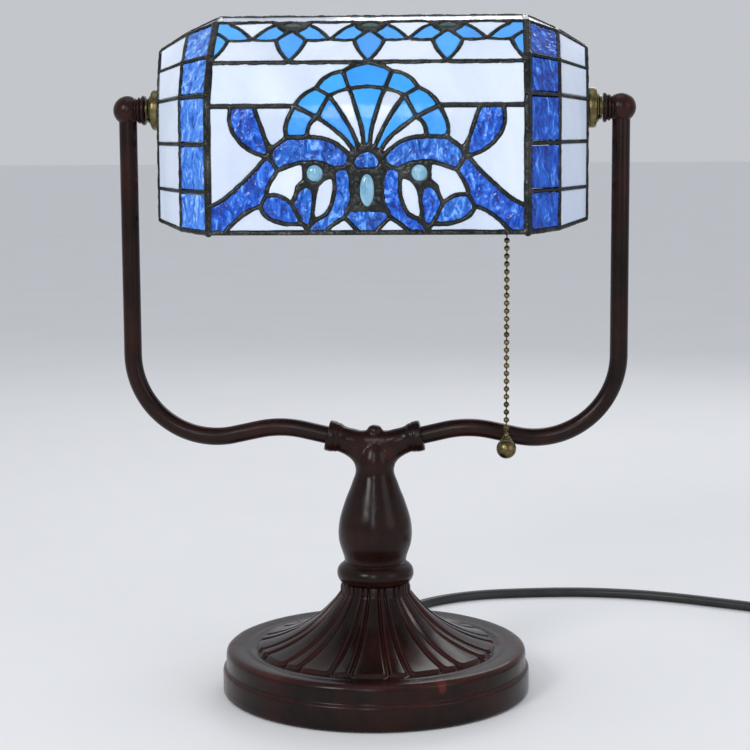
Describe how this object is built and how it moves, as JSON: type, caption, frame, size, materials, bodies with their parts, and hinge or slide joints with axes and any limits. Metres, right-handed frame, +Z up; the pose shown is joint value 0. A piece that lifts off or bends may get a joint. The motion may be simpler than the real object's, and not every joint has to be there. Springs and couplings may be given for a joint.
{
  "type": "banker desk lamp",
  "caption": "Desk lamp with a tilting leaded-glass shade between two bent arms, a baluster column, a fluted cast foot, a bead pull chain and a cord with plug.",
  "frame": {"origin": "centre of the felt pad's underside, on the table under the column", "axes": "+Z up along the column; -Y towards the user; +X towards the lampholder and pull chain, along the tilt axis"},
  "size_m": [0.4971, 0.3087, 0.3799],
  "materials": {
    "felt": "dark green felt",
    "steel": "zinc-plated steel",
    "weight_iron": "rough cast iron",
    "bronze": "dark oil-rubbed bronze finish, satin, reddish rub-through at the edges",
    "brass": "antique brass",
    "solder": "solder with a black patina, shiny and lumpy",
    "white_glass": "streaky white opal glass with a faint blue cast",
    "sky_glass": "sky-blue ripple glass",
    "cobalt_glass": "cobalt ripple glass with paler streaks",
    "aqua_glass": "pressed aqua glass jewels",
    "bulb_glass": "frosted white",
    "bakelite": "black phenolic moulding",
    "liner": "brown insulating fibre",
    "nylon": "natural nylon",
    "lead": "clear-gold lamp wire",
    "cord": "black round cord, smooth satin jacket"
  },
  "bodies": {
    "stand": {"felt_pad": "felt", "base_plate": "steel", "base_weight": "weight_iron", "base_foot": "bronze", "stem_ring": "bronze", "column": "bronze", "tie_rod": "steel", "rod_washer": "steel", "rod_nut": "steel", "hub_plug": "bronze", "arm_left": "bronze", "arm_right": "bronze", "knuckle_left": "bronze", "knuckle_right": "bronze", "collar_left": "bronze", "collar_right": "bronze", "cord_gland": "cord", "terminal_block": "nylon", "stand_lead": "lead", "power_cord": "cord", "cord_coil": "cord", "plug_body": "cord", "plug_pins": "brass"},
    "shade": {"washer_left": "brass", "washer_right": "brass", "pivot_nipple_left": "brass", "pivot_nipple_right": "brass", "pivot_nuts": "brass", "front_came_lower": "solder", "front_came_upper": "solder", "back_came_lower": "solder", "back_came_upper": "solder", "top_came": "solder", "end_came_left": "solder", "end_came_right": "solder", "front_white_glass": "white_glass", "front_sky_glass": "sky_glass", "front_cobalt_glass": "cobalt_glass", "back_white_glass": "white_glass", "back_sky_glass": "sky_glass", "back_cobalt_glass": "cobalt_glass", "jewels": "aqua_glass", "top_glass": "white_glass", "corner_glass": "cobalt_glass", "end_glass": "white_glass", "socket_cap": "brass", "socket_shell": "brass", "socket_liner": "liner", "switch_body": "bakelite", "screw_shell": "brass", "centre_contact": "brass", "chain_guide": "brass", "bulb_cap": "steel", "bulb_glass": "bulb_glass", "socket_lead": "lead"},
    "chain_top": {"chain_hook": "brass"},
    "chain_mid": {"chain_swivel": "brass"},
    "pull": {"pull_chain": "brass", "pull_ball": "brass"},
    "cam": {"switch_cam": "nylon"}
  },
  "joints": [
    {"name": "shade_tilt", "type": "hinge", "parent": "stand", "child": "shade", "pos_m": [0, 0, 0.3294], "axis": [1, 0, 0], "range_deg": [-40, 20]},
    {"name": "chain_hang", "type": "hinge", "parent": "shade", "child": "chain_top", "pos_m": [0.074, -0.022, 0.3214], "axis": [1, 0, 0], "range_deg": [-20, 40]},
    {"name": "chain_swing", "type": "hinge", "parent": "chain_top", "child": "chain_mid", "pos_m": [0.074, -0.022, 0.3214], "axis": [0, 1, 0], "range_deg": [-12, 12]},
    {"name": "chain_pull", "type": "slide", "parent": "chain_mid", "child": "pull", "axis": [0, 0, -1], "range_m": [0, 0.006], "stiffness_N_per_m": 400, "springref_m": -0.004},
    {"name": "cam_turn", "type": "hinge", "parent": "shade", "child": "cam", "pos_m": [0.0735, 0, 0.3294], "axis": [1, 0, 0], "range_deg": [0, 45]}
  ],
  "couplings": [
    {"joint": "chain_hang", "follows": "shade_tilt", "ratio": -1},
    {"joint": "cam_turn", "follows": "chain_pull", "rad_per_m": 130.5}
  ]
}
